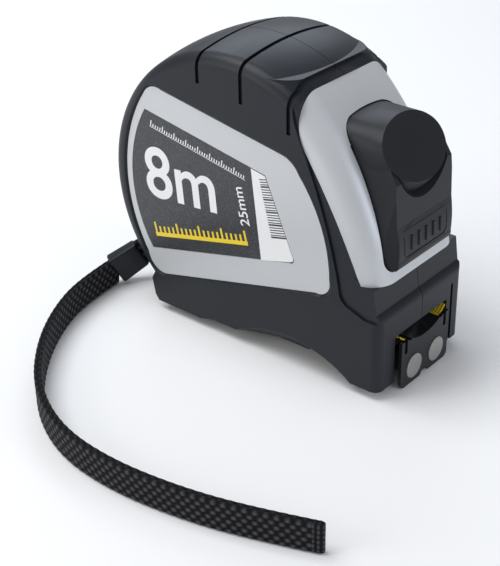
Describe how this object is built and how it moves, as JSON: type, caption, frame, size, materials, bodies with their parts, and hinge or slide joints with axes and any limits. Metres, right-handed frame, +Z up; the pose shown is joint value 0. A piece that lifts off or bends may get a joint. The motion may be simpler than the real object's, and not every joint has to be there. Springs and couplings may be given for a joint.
{
  "type": "tape measure",
  "caption": "Retractable steel tape measure with rubber-clad round case, silver front bezel, thumb lock, bowed yellow blade, magnetic end hook and woven wrist strap.",
  "frame": {"origin": "midway along the case on its mid-plane, at the level of the lowest edge of the end hook, which is what the front of the tape stands on", "axes": "+X out of the blade mouth, +Y to the right-hand side of the case, +Z up from the flat base"},
  "size_m": [0.1473, 0.1258, 0.0995],
  "materials": {
    "rubber": "satin soft-touch rubber",
    "silver_plastic": "satin silver grey",
    "black_plastic": "satin",
    "zinc_steel": "zinc plated",
    "spring_steel": "blued",
    "blade_paint": "yellow enamel with printed scale",
    "black_steel": "black satin coating",
    "magnet_nickel": "nickel plated",
    "label_film": "charcoal print with white and yellow",
    "webbing": "woven nylon"
  },
  "bodies": {
    "case": {"case_screws": "zinc_steel", "case_shell_left": "silver_plastic", "case_shell_right": "silver_plastic", "front_bezel": "silver_plastic", "hook_bumper": "rubber", "label_left": "label_film", "label_right": "label_film", "lock_lever_pin": "zinc_steel", "lock_spring": "spring_steel", "reel_post": "zinc_steel", "rubber_cover_left": "rubber", "rubber_cover_right": "rubber", "strap_bar": "zinc_steel", "strap_keeper": "rubber", "strap_lug": "black_plastic", "strap_root": "webbing", "thumb_lock_pin": "zinc_steel", "wrist_strap": "webbing"},
    "thumb_lock": {"thumb_lock": "black_plastic"},
    "lock_lever": {"lock_lever": "black_plastic"},
    "reel": {"reel_drum": "black_plastic", "reel_disc": "black_plastic", "blade_coil": "blade_paint", "power_spring": "spring_steel"},
    "blade": {"blade": "blade_paint", "hook_rivets": "zinc_steel"},
    "hook": {"end_hook": "black_steel", "hook_magnet_left": "magnet_nickel", "hook_magnet_right": "magnet_nickel"}
  },
  "joints": [
    {"name": "thumb_lock_rock", "type": "hinge", "parent": "case", "child": "thumb_lock", "pos_m": [0.044, 0, 0.0435], "axis": [0, -1, 0], "range_deg": [0, 3], "stiffness_Nm_per_rad": 2},
    {"name": "lever_turn", "type": "hinge", "parent": "case", "child": "lock_lever", "pos_m": [0.033, 0, 0.031], "axis": [0, -1, 0], "range_deg": [0, 6]},
    {"name": "reel_turn", "type": "hinge", "parent": "case", "child": "reel", "pos_m": [-0.006, 0, 0.045], "axis": [0, -1, 0], "range_deg": [0, 95]},
    {"name": "blade_slide", "type": "slide", "parent": "case", "child": "blade", "axis": [1, 0, 0], "range_m": [0, 0.045]},
    {"name": "hook_float", "type": "slide", "parent": "blade", "child": "hook", "axis": [1, 0, 0], "range_m": [0, 0.001]}
  ],
  "couplings": [
    {"joint": "lever_turn", "follows": "thumb_lock_rock", "ratio": 2},
    {"joint": "blade_slide", "follows": "reel_turn", "m_per_rad": 0.027}
  ]
}
